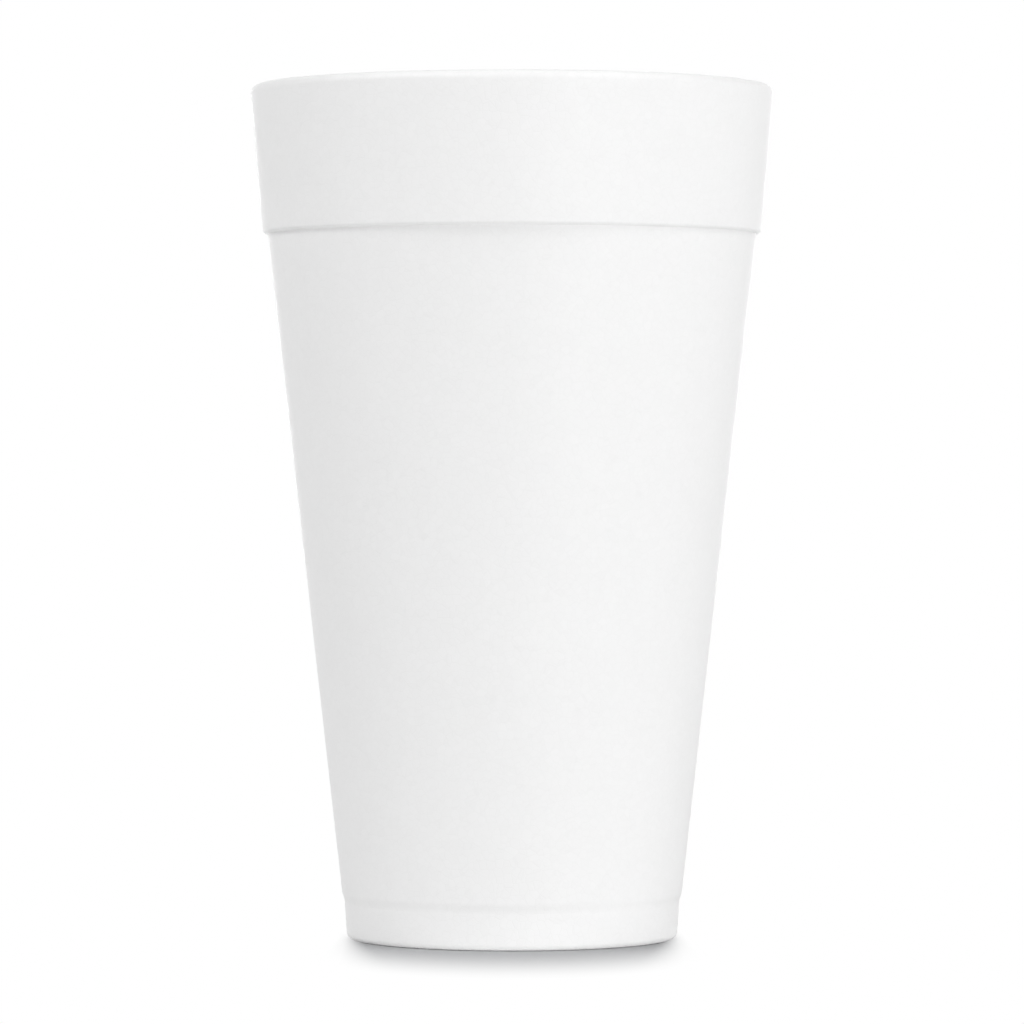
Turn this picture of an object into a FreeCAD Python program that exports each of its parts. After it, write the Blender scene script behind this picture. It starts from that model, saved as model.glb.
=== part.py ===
import FreeCAD
import Part
import Sketcher
import os

# A disposable cup moulded from expanded polystyrene beads, in millimetres. It stands on z = 0
# with its axis on +Z. One body of revolution holds all of it: a low foot set in under a sloped
# heel, a plain cone, and a thicker band round the rim. Inside, a ledge with the heel's own slope
# stops the next cup of a stack, so that the cones never wedge and the bands never touch.

# The driving sizes: alias, value, and what is measured.
SIZES = [
    ("rim_diameter", 95.6, "outside, at the top plane, before the lip is rounded"),
    ("cup_height", 155.6, "standing ring to lip"),
    ("wall", 2.6, "thickness of the cone, measured level"),
    ("band_height", 27.0, "lip to the lower edge of the rim band"),
    ("band_step", 0.9, "how far the band's lower edge stands out from the cone"),
    ("lip_step", 0.2, "how far the lip's outer corner stands out from the cone, carried on"),
    ("heel_diameter", 62.1, "outside, at the lower end of the cone"),
    ("foot_height", 8.3, "standing ring to the lower end of the cone"),
    ("heel_step", 0.45, "how far the foot is set in under the cone"),
    ("heel_drop", 1.3, "height of the slope between cone and foot"),
    ("foot_draft", 3.5, "taper of the foot, degrees from upright"),
    ("floor_thickness", 3.0, "between the hollow underneath and the inside"),
    ("hollow_depth", 2.5, "standing ring to the underside of the floor"),
    ("ring_width", 5.0, "standing ring, outer corner to inner corner"),
    ("hollow_draft", 12.0, "taper of the hollow's wall, degrees from upright"),
    ("gate_diameter", 11.0, "round mark where the mould was filled with beads"),
    ("gate_height", 0.3, "how far that mark stands out of the floor"),
    ("nest_gap", 0.7, "least gap between a lip and the next cup's band"),
    ("nest_clearance", 0.5, "least gap between the cones of two nested cups"),
    ("foot_clearance", 0.25, "gap round the next cup's foot, on the radius"),
    ("lip_round", 1.5, "rounding of the lip's outer edge"),
    ("mouth_round", 0.8, "rounding of the lip's inner edge"),
    ("band_round", 0.7, "rounding of the band's lower edge"),
    ("heel_round", 0.5, "rounding at both ends of the heel's slope"),
    ("base_round", 1.2, "rounding of the foot's outer corner"),
    ("ring_round", 0.8, "rounding of the standing ring's inner corner"),
    ("ledge_round", 1.0, "rounding of the nesting ledge"),
    ("floor_round", 3.0, "rounding between the floor and the wall inside"),
]

# What follows from the driving sizes: alias and formula. Angles are in degrees.
WORKED_OUT = [
    ("rim_radius", "Sizes.rim_diameter / 2"),
    ("heel_radius", "Sizes.heel_diameter / 2"),
    # The cone runs from the heel up to the lip, behind the band.
    ("cone_end_radius", "rim_radius - Sizes.lip_step"),
    ("cone_taper", "(cone_end_radius - heel_radius) / (Sizes.cup_height - Sizes.foot_height)"),
    ("band_bottom", "Sizes.cup_height - Sizes.band_height"),
    ("cone_top_radius", "cone_end_radius - cone_taper * Sizes.band_height"),
    ("band_bottom_radius", "cone_top_radius + Sizes.band_step"),
    ("foot_top", "Sizes.foot_height - Sizes.heel_drop"),
    ("foot_top_radius", "heel_radius - Sizes.heel_step"),
    ("base_radius", "foot_top_radius - foot_top * tan(Sizes.foot_draft)"),
    # Underneath.
    ("ring_inner_radius", "base_radius - Sizes.ring_width"),
    ("hollow_top_radius", "ring_inner_radius - Sizes.hollow_depth * tan(Sizes.hollow_draft)"),
    ("gate_radius", "Sizes.gate_diameter / 2"),
    ("gate_face", "Sizes.hollow_depth - Sizes.gate_height"),
    # Stacking: a nested cup sits higher by the pitch, which clears the band and the cone.
    ("band_pitch", "Sizes.band_height + Sizes.nest_gap"),
    ("cone_pitch", "(Sizes.wall + Sizes.nest_clearance) / cone_taper"),
    ("nest_pitch", "max(band_pitch; cone_pitch)"),
    # The seat for the next cup's foot, and the ledge above it with the slope of the heel.
    ("heel_slope", "Sizes.heel_drop / Sizes.heel_step"),
    ("seat_bottom_radius", "base_radius + Sizes.foot_clearance"),
    ("seat_top_radius", "foot_top_radius + Sizes.foot_clearance"),
    ("seat_top", "nest_pitch + foot_top + Sizes.foot_clearance * heel_slope"),
    ("wall_radius_at_seat", "heel_radius + cone_taper * (seat_top - Sizes.foot_height) - Sizes.wall"),
    ("ledge_width", "(wall_radius_at_seat - seat_top_radius) / (1 - cone_taper * heel_slope)"),
    ("ledge_radius", "seat_top_radius + ledge_width"),
    ("ledge_top", "seat_top + ledge_width * heel_slope"),
    # The rest of the inside.
    ("mouth_radius", "cone_end_radius - Sizes.wall"),
    ("floor_top", "Sizes.hollow_depth + Sizes.floor_thickness"),
    ("floor_radius", "foot_top_radius - Sizes.wall"),
    # The two roundings of the lip share its width, and the band's fits under its step.
    ("lip_outer_round", "min(Sizes.lip_round; 0.6 * Sizes.wall)"),
    ("lip_inner_round", "min(Sizes.mouth_round; 0.35 * Sizes.wall)"),
    ("band_lower_round", "min(Sizes.band_round; 0.95 * Sizes.band_step)"),
]

# Half sections, each a closed outline of corners given as radius and height.
OUTSIDE = [
    ("0", "0"),
    ("Worked.base_radius", "0"),
    ("Worked.foot_top_radius", "Worked.foot_top"),
    ("Worked.heel_radius", "Sizes.foot_height"),
    ("Worked.cone_top_radius", "Worked.band_bottom"),
    ("Worked.band_bottom_radius", "Worked.band_bottom"),
    ("Worked.rim_radius", "Sizes.cup_height"),
    ("0", "Sizes.cup_height"),
]
INSIDE = [
    ("0", "Worked.floor_top"),
    ("Worked.floor_radius", "Worked.floor_top"),
    ("Worked.seat_bottom_radius", "Worked.nest_pitch"),
    ("Worked.seat_top_radius", "Worked.seat_top"),
    ("Worked.ledge_radius", "Worked.ledge_top"),
    ("Worked.mouth_radius", "Sizes.cup_height"),
    ("0", "Sizes.cup_height"),
]
UNDERSIDE = [
    ("0", "0"),
    ("Worked.ring_inner_radius", "0"),
    ("Worked.hollow_top_radius", "Sizes.hollow_depth"),
    ("Worked.gate_radius", "Sizes.hollow_depth"),
    ("Worked.gate_radius", "Worked.gate_face"),
    ("0", "Worked.gate_face"),
]

# Roundings, in the order they are made: name, radius, and the corners that get it.
ROUNDINGS = [
    ("LipOuterEdge", "Worked.lip_outer_round", [("Worked.rim_radius", "Sizes.cup_height")]),
    ("LipInnerEdge", "Worked.lip_inner_round", [("Worked.mouth_radius", "Sizes.cup_height")]),
    ("BandLowerEdge", "Worked.band_lower_round", [("Worked.band_bottom_radius", "Worked.band_bottom")]),
    (
        "Heel",
        "Sizes.heel_round",
        [("Worked.heel_radius", "Sizes.foot_height"), ("Worked.foot_top_radius", "Worked.foot_top")],
    ),
    ("BaseCorner", "Sizes.base_round", [("Worked.base_radius", "0")]),
    (
        "StandingRing",
        "Sizes.ring_round",
        [("Worked.ring_inner_radius", "0"), ("Worked.hollow_top_radius", "Sizes.hollow_depth")],
    ),
    (
        "NestingLedge",
        "Sizes.ledge_round",
        [
            ("Worked.ledge_radius", "Worked.ledge_top"),
            ("Worked.seat_top_radius", "Worked.seat_top"),
            ("Worked.seat_bottom_radius", "Worked.nest_pitch"),
        ],
    ),
    ("FloorCorner", "Sizes.floor_round", [("Worked.floor_radius", "Worked.floor_top")]),
]

ON_AXIS = "0"
SAME_PLACE = 1e-4


def fill_sizes(document):
    """The sheet of driving sizes: a note, the number and its alias on each row."""
    sheet = document.addObject("Spreadsheet::Sheet", "Sizes")
    for row, (alias, value, note) in enumerate(SIZES, start=1):
        sheet.set(f"A{row}", note)
        sheet.set(f"B{row}", str(value))
        sheet.setAlias(f"B{row}", alias)
    document.recompute()
    return sheet


def fill_worked_out(document):
    """The sheet of sizes that follow from the driving ones."""
    sheet = document.addObject("Spreadsheet::Sheet", "Worked")
    for row, (alias, formula) in enumerate(WORKED_OUT, start=1):
        sheet.set(f"A{row}", alias.replace("_", " "))
        sheet.set(f"B{row}", "=" + formula)
        sheet.setAlias(f"B{row}", alias)
        document.recompute()
    return sheet


def number(sheet, expression):
    """The present value of an expression, as a plain number."""
    return float(sheet.evalExpression(expression))


def half_section(body, sheet, name, corners):
    """A sketch on the XZ plane, with each corner held at its radius and height by the sheets."""
    sketch = body.newObject("Sketcher::SketchObject", name)
    plane = next(item for item in body.Origin.OriginFeatures if item.Role == "XZ_Plane")
    sketch.AttachmentSupport = [(plane, "")]
    sketch.MapMode = "FlatFace"
    places = [
        FreeCAD.Vector(number(sheet, radius), number(sheet, height), 0)
        for radius, height in corners
    ]
    count = len(places)
    for index in range(count):
        line = Part.LineSegment(places[index], places[(index + 1) % count])
        sketch.addGeometry(line, False)
    for index in range(count):
        sketch.addConstraint(Sketcher.Constraint("Coincident", index, 2, (index + 1) % count, 1))
    for index, corner in enumerate(corners):
        hold_corner(sketch, index, corner, places[index])
    return sketch


def hold_corner(sketch, index, corner, place):
    """Ties the start of one line to the axis and the base plane, or at a distance from them."""
    origin = (-1, 1)
    base_plane = -1
    axis = -2
    rules = [
        ("DistanceX", "radius", corner[0], place.x, axis),
        ("DistanceY", "height", corner[1], place.y, base_plane),
    ]
    for kind, word, expression, value, zero_line in rules:
        if expression == ON_AXIS:
            sketch.addConstraint(Sketcher.Constraint("PointOnObject", index, 1, zero_line))
            continue
        name = f"{word}_{index}"
        held = sketch.addConstraint(Sketcher.Constraint(kind, *origin, index, 1, value))
        sketch.renameConstraint(held, name)
        sketch.setExpression(f"Constraints.{name}", expression)


def turn(body, kind, name, sketch):
    """Turns a half section once round the cup's axis, as solid or as cut."""
    feature = body.newObject(kind, name)
    feature.Profile = sketch
    feature.ReferenceAxis = (sketch, ["V_Axis"])
    feature.Angle = 360
    body.Document.recompute()
    sketch.Visibility = False
    return feature


def ring_edge(feature, radius, height):
    """The name of the round edge at a radius and height."""
    for index, edge in enumerate(feature.Shape.Edges, start=1):
        curve = edge.Curve
        if not isinstance(curve, Part.Circle):
            continue
        off = abs(curve.Radius - radius) + abs(curve.Center.z - height)
        if off < SAME_PLACE:
            return f"Edge{index}"
    raise ValueError(f"no edge at radius {radius} and height {height}")


def round_corners(body, sheet, name, radius, corners):
    """A fillet on the edges that some corners of the section have become."""
    base = body.Tip
    edges = [ring_edge(base, number(sheet, wide), number(sheet, high)) for wide, high in corners]
    fillet = body.newObject("PartDesign::Fillet", name)
    fillet.Base = (base, edges)
    fillet.setExpression("Radius", radius)
    body.Document.recompute()
    return fillet


def volume_of(feature):
    return feature.Shape.Volume


def make_cup(document, sheet):
    """The one-piece cup: outside turned, inside and underside cut, then the edges rounded."""
    body = document.addObject("PartDesign::Body", "Cup")
    body.Label = "cup"
    body.Placement = FreeCAD.Placement()
    blank = turn(
        body, "PartDesign::Revolution", "Outside", half_section(body, sheet, "OutsideSection", OUTSIDE)
    )
    cavity = turn(
        body, "PartDesign::Groove", "Inside", half_section(body, sheet, "InsideSection", INSIDE)
    )
    hollow = turn(
        body, "PartDesign::Groove", "Underside", half_section(body, sheet, "UndersideSection", UNDERSIDE)
    )
    if not volume_of(blank) > volume_of(cavity) > volume_of(hollow) > 0:
        raise RuntimeError("a cut in the cup removed nothing")
    for name, radius, corners in ROUNDINGS:
        round_corners(body, sheet, name, radius, corners)
    return body


def check(document, parts):
    """Stops if any object failed, or if a sub-part isn't one sound solid."""
    for item in document.Objects:
        if "Invalid" in item.State or "Error" in item.State:
            raise RuntimeError(f"{item.Name} failed: {item.State}")
    for part in parts:
        shape = part.Shape
        if shape.isNull() or not shape.isValid() or len(shape.Solids) != 1:
            raise RuntimeError(f"{part.Label} is not one sound solid")


def main():
    document = FreeCAD.newDocument("FoamCup")
    fill_sizes(document)
    worked = fill_worked_out(document)
    parts = [make_cup(document, worked)]
    document.recompute()
    check(document, parts)
    os.makedirs("parts", exist_ok=True)
    for part in parts:
        part.Shape.exportStep(os.path.join("parts", part.Label + ".step"))
        box = part.Shape.BoundBox
        print(part.Label, "volume", round(part.Shape.Volume), "mm3, box", box)
    for alias in ("nest_pitch", "cone_taper", "ledge_width"):
        print(alias, round(number(worked, alias), 4))


main()
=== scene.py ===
import math

import bmesh
import bpy
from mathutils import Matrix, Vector


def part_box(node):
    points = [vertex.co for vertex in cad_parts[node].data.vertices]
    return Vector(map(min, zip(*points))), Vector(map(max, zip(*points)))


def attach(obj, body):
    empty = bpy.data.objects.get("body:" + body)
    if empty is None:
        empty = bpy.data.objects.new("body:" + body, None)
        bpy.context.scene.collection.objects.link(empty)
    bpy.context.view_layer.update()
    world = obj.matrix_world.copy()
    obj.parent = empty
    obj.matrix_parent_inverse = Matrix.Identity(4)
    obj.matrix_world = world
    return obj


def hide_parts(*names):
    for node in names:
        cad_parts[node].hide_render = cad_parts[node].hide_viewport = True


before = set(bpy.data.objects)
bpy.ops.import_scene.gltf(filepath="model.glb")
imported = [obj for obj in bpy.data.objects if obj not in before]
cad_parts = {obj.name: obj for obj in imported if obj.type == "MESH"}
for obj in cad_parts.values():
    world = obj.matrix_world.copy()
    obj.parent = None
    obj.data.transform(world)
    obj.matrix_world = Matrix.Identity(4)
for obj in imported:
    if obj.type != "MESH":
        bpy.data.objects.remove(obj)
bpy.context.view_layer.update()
cup_low, cup_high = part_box("cup")

# ---------------------------------------------------------------- sizes
# One millimetre of the cup at the frame's own scale: the frame's height is the cup's.
CUP_HEIGHT = 155.6
mm = (cup_high.z - cup_low.z) / CUP_HEIGHT
CUP_MIDDLE = Vector((0, 0, 0.5 * CUP_HEIGHT * mm))

# The cup's own sizes, in its millimetres.
RIM_RADIUS = 47.8
WALL = 2.6
BAND_HEIGHT = 27.0
BAND_STEP = 0.9
LIP_STEP = 0.2
HEEL_RADIUS = 31.05
FOOT_HEIGHT = 8.3
HEEL_STEP = 0.45
HEEL_DROP = 1.3
FOOT_TAPER = math.tan(math.radians(3.5))
FLOOR_THICKNESS = 3.0
HOLLOW_DEPTH = 2.5
RING_WIDTH = 5.0
HOLLOW_TAPER = math.tan(math.radians(12.0))
GATE_RADIUS = 5.5
GATE_HEIGHT = 0.3
NEST_GAP = 0.7
FOOT_CLEARANCE = 0.25

# Roundings of its corners, from the gate mark under the base, up the outside and down the inside.
GATE_ROUND = 0.12
RING_ROUND = 0.8
BASE_ROUND = 1.2
HEEL_ROUND = 3.0
BAND_INNER_ROUND = 0.06
BAND_ROUND = 0.7
LIP_ROUND = 1.5
MOUTH_ROUND = 0.8
LEDGE_ROUND = 1.0
FLOOR_ROUND = 3.0

# What follows from them.
CONE_END = RIM_RADIUS - LIP_STEP
CONE_TAPER = (CONE_END - HEEL_RADIUS) / (CUP_HEIGHT - FOOT_HEIGHT)
CONE_TOP = CONE_END - CONE_TAPER * BAND_HEIGHT
BAND_BOTTOM = CUP_HEIGHT - BAND_HEIGHT
FOOT_TOP = FOOT_HEIGHT - HEEL_DROP
FOOT_RADIUS = HEEL_RADIUS - HEEL_STEP
BASE_RADIUS = FOOT_RADIUS - FOOT_TOP * FOOT_TAPER
RING_INNER = BASE_RADIUS - RING_WIDTH
HOLLOW_TOP = RING_INNER - HOLLOW_DEPTH * HOLLOW_TAPER
FLOOR_TOP = HOLLOW_DEPTH + FLOOR_THICKNESS
FLOOR_RADIUS = FOOT_RADIUS - WALL
HEEL_SLOPE = HEEL_DROP / HEEL_STEP
NEST_PITCH = BAND_HEIGHT + NEST_GAP
SEAT_TOP = NEST_PITCH + FOOT_TOP + FOOT_CLEARANCE * HEEL_SLOPE
SEAT_WALL = HEEL_RADIUS + CONE_TAPER * (SEAT_TOP - FOOT_HEIGHT) - WALL
LEDGE_WIDTH = (SEAT_WALL - FOOT_RADIUS - FOOT_CLEARANCE) / (1 - CONE_TAPER * HEEL_SLOPE)

# The cup's half section, from the middle of the underside round to the middle of the inside:
# radius, height and rounding of each corner.
SECTION = [
    (0.0, HOLLOW_DEPTH - GATE_HEIGHT, 0.0),
    (GATE_RADIUS, HOLLOW_DEPTH - GATE_HEIGHT, GATE_ROUND),
    (GATE_RADIUS, HOLLOW_DEPTH, GATE_ROUND),
    (HOLLOW_TOP, HOLLOW_DEPTH, RING_ROUND),
    (RING_INNER, 0.0, RING_ROUND),
    (BASE_RADIUS, 0.0, BASE_ROUND),
    (FOOT_RADIUS, FOOT_TOP, HEEL_ROUND),
    (HEEL_RADIUS, FOOT_HEIGHT, HEEL_ROUND),
    (CONE_TOP, BAND_BOTTOM, BAND_INNER_ROUND),
    (CONE_TOP + BAND_STEP, BAND_BOTTOM, BAND_ROUND),
    (RIM_RADIUS, CUP_HEIGHT, LIP_ROUND),
    (CONE_END - WALL, CUP_HEIGHT, MOUTH_ROUND),
    (FOOT_RADIUS + FOOT_CLEARANCE + LEDGE_WIDTH, SEAT_TOP + LEDGE_WIDTH * HEEL_SLOPE, LEDGE_ROUND),
    (FOOT_RADIUS + FOOT_CLEARANCE, SEAT_TOP, LEDGE_ROUND),
    (BASE_RADIUS + FOOT_CLEARANCE, NEST_PITCH, LEDGE_ROUND),
    (FLOOR_RADIUS, FLOOR_TOP, FLOOR_ROUND),
    (0.0, FLOOR_TOP, 0.0),
]

# How finely the section and its turning are divided.
ARC_STEPS = 12
LONGEST_ARC_STEP = 1.0 * mm
GUARD = 0.12 * mm
RING_SPACING = 2.2 * mm
TURN_STEPS = 240
MERGE_DISTANCE = 0.001 * mm


# ---------------------------------------------------------------- the cup's mesh
def round_corner(bm, corner, rounding):
    """Rounds one corner of the section with an arc of the given radius."""
    before, after = [edge.other_vert(corner).co - corner.co for edge in corner.link_edges]
    turn = math.pi - before.angle(after)
    reach = rounding * math.tan(turn / 2)
    bmesh.ops.bevel(
        bm, geom=[corner], offset=reach, offset_type="OFFSET", segments=ARC_STEPS,
        profile=0.5, affect="VERTICES", material=-1,
    )


def divide_straights(bm):
    """Puts a ring close beside each rounding, so that straight faces shade straight, and rings between."""
    for edge in [edge for edge in bm.edges if edge.calc_length() > LONGEST_ARC_STEP]:
        start, end = edge.verts
        length = edge.calc_length()
        bmesh.utils.edge_split(edge, start, GUARD / length)
        middle = next(e for e in end.link_edges if e.calc_length() > 0.5 * length)
        middle, _ = bmesh.utils.edge_split(middle, end, GUARD / length)
        middle = max((e for v in middle.verts for e in v.link_edges), key=lambda e: e.calc_length())
        cuts = int(middle.calc_length() / RING_SPACING)
        if cuts:
            bmesh.ops.subdivide_edges(bm, edges=[middle], cuts=cuts)


def moulded_cup():
    """The whole cup, turned from its half section."""
    bm = bmesh.new()
    corners = [bm.verts.new((radius * mm, 0, height * mm)) for radius, height, _ in SECTION]
    for first, second in zip(corners, corners[1:]):
        bm.edges.new((first, second))
    for corner, (_, _, rounding) in zip(corners, SECTION):
        if rounding:
            round_corner(bm, corner, rounding * mm)
    divide_straights(bm)
    bmesh.ops.spin(
        bm, geom=bm.verts[:] + bm.edges[:], cent=(0, 0, 0), axis=(0, 0, 1), dvec=(0, 0, 0),
        angle=2 * math.pi, steps=TURN_STEPS, use_merge=True, use_duplicate=False,
    )
    bmesh.ops.remove_doubles(bm, verts=bm.verts[:], dist=MERGE_DISTANCE)
    bmesh.ops.recalc_face_normals(bm, faces=bm.faces[:])
    for face in bm.faces:
        face.smooth = True
    mesh = bpy.data.meshes.new("foam_cup")
    bm.to_mesh(mesh)
    bm.free()
    return mesh


cup = bpy.data.objects.new("foam_cup", moulded_cup())
bpy.context.scene.collection.objects.link(cup)
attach(cup, "root")
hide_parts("cup")

# ---------------------------------------------------------------- the foam
# Beads, the grooves between them and wider smudges: width, depth and how far each shades the white.
BEAD_SIZE = 1.35 * mm
BEAD_RELIEF = 0.0035 * mm
BEAD_SHADE = 0.01
GROOVE_SHARE = 0.075
GROOVE_DEPTH = 0.006 * mm
GROOVE_SHADE = 0.018
SMUDGE_SIZE = 14 * mm
SMUDGE_DETAIL = 3.0
SMUDGE_RELIEF = 0.05 * mm
SMUDGE_SHADE = 0.012

FOAM_WHITE = 0.90
FOAM_ROUGHNESS = 0.5
BEAD_GLOSS = 0.08
FOAM_IOR = 1.45


class Wiring:
    """Adds nodes to a shader tree, and joins them, in short calls."""

    def __init__(self, tree):
        self.nodes = tree.nodes
        self.links = tree.links

    def feed(self, socket, value):
        """Joins a socket to another node's output, or sets it to a plain value."""
        if isinstance(value, bpy.types.NodeSocket):
            self.links.new(value, socket)
        else:
            socket.default_value = value

    def maths(self, operation, first, second=0.0, third=0.0):
        """One step of arithmetic; an operation that takes fewer values leaves the last ones out."""
        node = self.nodes.new("ShaderNodeMath")
        node.operation = operation
        for socket, value in zip(node.inputs, (first, second, third)):
            self.feed(socket, value)
        return node.outputs["Value"]

    def fade(self, value, start, end, low, high):
        """Runs smoothly from low to high while the value goes from start to end."""
        node = self.nodes.new("ShaderNodeMapRange")
        node.interpolation_type = "SMOOTHSTEP"
        self.feed(node.inputs["Value"], value)
        for name, number in (("From Min", start), ("From Max", end), ("To Min", low), ("To Max", high)):
            node.inputs[name].default_value = number
        return node.outputs["Result"]

    def cells(self, where, size, feature, output):
        """Cells packed like beads, each about the given size."""
        node = self.nodes.new("ShaderNodeTexVoronoi")
        node.feature = feature
        node.inputs["Scale"].default_value = 1 / size
        self.feed(node.inputs["Vector"], where)
        return node.outputs[output]

    def clouds(self, where, size, detail):
        """Soft random patches of about the given size, from 0 to 1."""
        node = self.nodes.new("ShaderNodeTexNoise")
        node.inputs["Scale"].default_value = 1 / size
        node.inputs["Detail"].default_value = detail
        self.feed(node.inputs["Vector"], where)
        return node.outputs["Fac"]


def beaded_foam():
    """White polystyrene beads pressed smooth against the mould: faint cells, fine grooves between."""
    material = bpy.data.materials.new("beaded_foam")
    material.use_nodes = True
    wire = Wiring(material.node_tree)
    surface = wire.nodes["Principled BSDF"]
    where = wire.nodes.new("ShaderNodeTexCoord").outputs["Object"]

    edge_distance = wire.cells(where, BEAD_SIZE, "DISTANCE_TO_EDGE", "Distance")
    groove = wire.fade(edge_distance, 0.0, GROOVE_SHARE, 1.0, 0.0)
    bead_number = wire.nodes.new("ShaderNodeSeparateColor")
    wire.feed(bead_number.inputs["Color"], wire.cells(where, BEAD_SIZE, "F1", "Color"))
    bead_tone = wire.maths("SUBTRACT", bead_number.outputs["Red"], 0.5)
    bead_sheen = wire.maths("SUBTRACT", bead_number.outputs["Green"], 0.5)
    bead_rise = bead_number.outputs["Blue"]
    smudge = wire.maths("SUBTRACT", wire.clouds(where, SMUDGE_SIZE, SMUDGE_DETAIL), 0.5)

    tone = wire.maths("MULTIPLY", bead_tone, BEAD_SHADE)
    tone = wire.maths("ADD", tone, wire.maths("MULTIPLY", smudge, SMUDGE_SHADE))
    tone = wire.maths("SUBTRACT", tone, wire.maths("MULTIPLY", groove, GROOVE_SHADE))
    white = wire.maths("MULTIPLY_ADD", tone, FOAM_WHITE, FOAM_WHITE)
    colour = wire.nodes.new("ShaderNodeCombineColor")
    for channel in ("Red", "Green", "Blue"):
        wire.feed(colour.inputs[channel], white)
    wire.feed(surface.inputs["Base Color"], colour.outputs["Color"])

    roughness = wire.maths("MULTIPLY_ADD", bead_sheen, BEAD_GLOSS, FOAM_ROUGHNESS)
    wire.feed(surface.inputs["Roughness"], roughness)
    surface.inputs["IOR"].default_value = FOAM_IOR

    height = wire.maths("MULTIPLY", bead_rise, BEAD_RELIEF)
    height = wire.maths("SUBTRACT", height, wire.maths("MULTIPLY", groove, GROOVE_DEPTH))
    height = wire.maths("ADD", height, wire.maths("MULTIPLY", smudge, SMUDGE_RELIEF))
    bump = wire.nodes.new("ShaderNodeBump")
    bump.inputs["Strength"].default_value = 1.0
    bump.inputs["Distance"].default_value = 1.0
    wire.feed(bump.inputs["Height"], height)
    wire.feed(surface.inputs["Normal"], bump.outputs["Normal"])
    return material


cup.data.materials.append(beaded_foam())

# ---------------------------------------------------------------- floor and room
WHITE = (1, 1, 1, 1)
FLOOR_PALE = (0.88, 0.88, 0.88, 1)
# The grey below is painted into the floor, seen straight, as the cup's shadow round the foot.
PAINTED_SHADOW_GREY = (0.40, 0.404, 0.414, 1)
ROOM_LIGHT = 0.34

# The floor reaches this far each way, in metres.
FLOOR_HALF = 3.0

# Where the painted shadow fades, measured out from the foot's edge to the front and to the back.
SHADOW_FRONT = (-8 * mm, 55 * mm)
SHADOW_BACK = (-8 * mm, 16 * mm)

# Its sides: how far out they are and how soft, and by what share of the way ahead they come in
# and grow softer.
SHADOW_EDGE = 26 * mm
SHADOW_EDGE_WIDTH = 6 * mm
SHADOW_NARROWS = 0.15
SHADOW_SOFTENS = 0.2


def seen_straight(wire):
    """1 for a ray from the camera, or one that gloss or glass sends on, and 0 for the light's own paths."""
    path = wire.nodes.new("ShaderNodeLightPath")
    mirror_ray = wire.maths("MAXIMUM", path.outputs["Is Glossy Ray"], path.outputs["Is Transmission Ray"])
    return wire.maths("MAXIMUM", path.outputs["Is Camera Ray"], mirror_ray)


def painted_shadow_share(wire):
    """1 where a soft shadow of the cup is painted on the floor: under the foot, and fading in front of it.
    """
    apart = wire.nodes.new("ShaderNodeSeparateXYZ")
    wire.feed(apart.inputs["Vector"], wire.nodes.new("ShaderNodeTexCoord").outputs["Object"])
    across, along = apart.outputs["X"], apart.outputs["Y"]
    chord = wire.maths("SUBTRACT", (BASE_RADIUS * mm) ** 2, wire.maths("MULTIPLY", across, across))
    half_chord = wire.maths("SQRT", wire.maths("MAXIMUM", chord, 0.0))
    in_front = wire.maths("SUBTRACT", wire.maths("MULTIPLY", along, -1.0), half_chord)
    front = wire.fade(in_front, *SHADOW_FRONT, 1.0, 0.0)
    back = wire.fade(wire.maths("SUBTRACT", along, half_chord), *SHADOW_BACK, 1.0, 0.0)
    ahead = wire.maths("MAXIMUM", in_front, 0.0)
    past_edge = wire.maths("SUBTRACT", wire.maths("ABSOLUTE", across), SHADOW_EDGE)
    past_edge = wire.maths("ADD", past_edge, wire.maths("MULTIPLY", ahead, SHADOW_NARROWS))
    edge_width = wire.maths("ADD", wire.maths("MULTIPLY", ahead, SHADOW_SOFTENS), SHADOW_EDGE_WIDTH)
    side = wire.fade(wire.maths("DIVIDE", past_edge, edge_width), 0.0, 1.0, 1.0, 0.0)
    return wire.maths("MULTIPLY", front, wire.maths("MULTIPLY", back, side))


def white_floor():
    """Pale floor: seen straight, it is pure white, but for a painted shadow of the cup close round the
    foot.
    """
    material = bpy.data.materials.new("white_floor")
    material.use_nodes = True
    wire = Wiring(material.node_tree)
    wire.nodes.clear()
    pale = wire.nodes.new("ShaderNodeBsdfDiffuse")
    pale.inputs["Color"].default_value = FLOOR_PALE
    # Seen straight, this grey diffuse is painted in where the mask says, as the cup's shadow.
    shaded = wire.nodes.new("ShaderNodeBsdfDiffuse")
    shaded.inputs["Color"].default_value = PAINTED_SHADOW_GREY
    white = wire.nodes.new("ShaderNodeEmission")
    white.inputs["Color"].default_value = WHITE
    white.inputs["Strength"].default_value = 1.0
    seen = wire.nodes.new("ShaderNodeMixShader")
    wire.feed(seen.inputs["Fac"], painted_shadow_share(wire))
    wire.feed(seen.inputs[1], white.outputs["Emission"])
    wire.feed(seen.inputs[2], shaded.outputs["BSDF"])
    both = wire.nodes.new("ShaderNodeMixShader")
    wire.feed(both.inputs["Fac"], seen_straight(wire))
    wire.feed(both.inputs[1], pale.outputs["BSDF"])
    wire.feed(both.inputs[2], seen.outputs["Shader"])
    out = wire.nodes.new("ShaderNodeOutputMaterial")
    wire.feed(out.inputs["Surface"], both.outputs["Shader"])
    return material


def background(wire, strength):
    """White light of the given strength from all round."""
    node = wire.nodes.new("ShaderNodeBackground")
    node.inputs["Color"].default_value = WHITE
    node.inputs["Strength"].default_value = strength
    return node.outputs["Background"]


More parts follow.
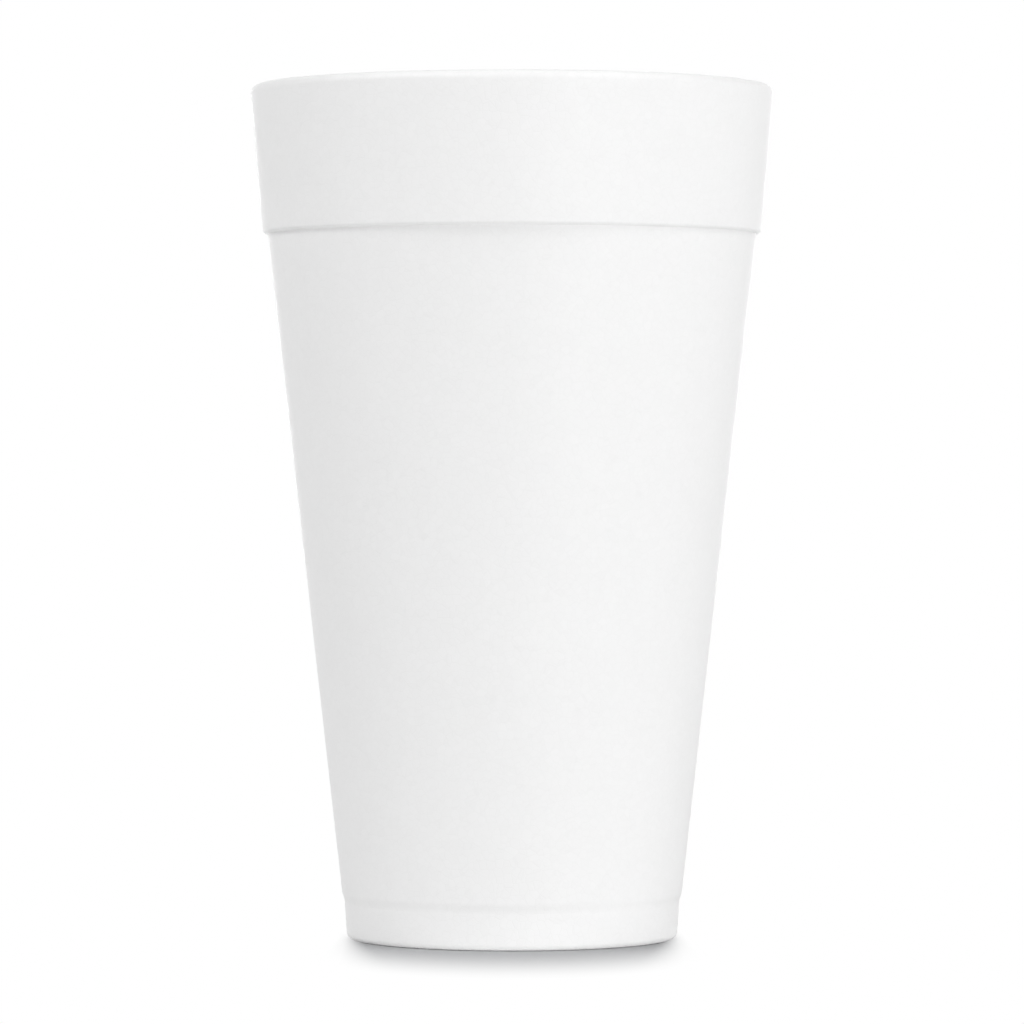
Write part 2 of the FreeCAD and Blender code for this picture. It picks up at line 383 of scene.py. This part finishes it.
def white_room():
    """Even white light from all round, soft on the cup and pure white where it is seen."""
    world = bpy.data.worlds.new("studio")
    world.use_nodes = True
    wire = Wiring(world.node_tree)
    wire.nodes.clear()
    mix = wire.nodes.new("ShaderNodeMixShader")
    wire.feed(mix.inputs["Fac"], seen_straight(wire))
    wire.feed(mix.inputs[1], background(wire, ROOM_LIGHT))
    wire.feed(mix.inputs[2], background(wire, 1.0))
    out = wire.nodes.new("ShaderNodeOutputWorld")
    wire.feed(out.inputs["Surface"], mix.outputs["Shader"])
    return world


bm = bmesh.new()
bmesh.ops.create_grid(bm, x_segments=1, y_segments=1, size=FLOOR_HALF)
floor_mesh = bpy.data.meshes.new("floor")
bm.to_mesh(floor_mesh)
bm.free()
floor = bpy.data.objects.new("floor", floor_mesh)
bpy.context.scene.collection.objects.link(floor)
floor.data.materials.append(white_floor())
bpy.context.scene.world = white_room()

# ---------------------------------------------------------------- panels and camera
# Distances are in metres, from the middle of the cup for the panels and from its axis for the camera.
PANEL_DISTANCE = 1.5
CAMERA_DISTANCE = 1.04
CAMERA_HEIGHT = 89 * mm
CAMERA_LENS = 200

# Name, azimuth (0 in front, 90 to the right) and elevation in degrees, width and height in metres, watts.
PANELS = [
    ("key_panel", 30, 5, 0.9, 0.4, 6.5),
    ("left_panel", -68, 45, 0.75, 0.75, 9.0),
    ("right_panel", 60, 45, 0.75, 0.75, 6.7),
    ("back_panel", 180, 5, 0.9, 0.4, 6.8),
]


def aim(thing, location):
    """Places a lamp or the camera, and turns it to the middle of the cup."""
    thing.location = location
    thing.rotation_euler = (CUP_MIDDLE - thing.location).to_track_quat("-Z", "Y").to_euler()
    bpy.context.scene.collection.objects.link(thing)


def soft_light(name, azimuth, elevation, width, height, power):
    """A soft panel aimed at the middle of the cup."""
    turn = math.radians(azimuth)
    lift = math.radians(elevation)
    way = Vector((math.sin(turn) * math.cos(lift), -math.cos(turn) * math.cos(lift), math.sin(lift)))
    lamp = bpy.data.lights.new(name, "AREA")
    lamp.shape = "RECTANGLE"
    lamp.size = width
    lamp.size_y = height
    lamp.energy = power
    aim(bpy.data.objects.new(name, lamp), CUP_MIDDLE + way * PANEL_DISTANCE)


for panel in PANELS:
    soft_light(*panel)

camera_data = bpy.data.cameras.new("camera")
camera_data.lens = CAMERA_LENS
camera = bpy.data.objects.new("camera", camera_data)
aim(camera, (0, -CAMERA_DISTANCE, CAMERA_HEIGHT))
bpy.context.scene.camera = camera
bpy.context.scene.view_settings.view_transform = "Standard"
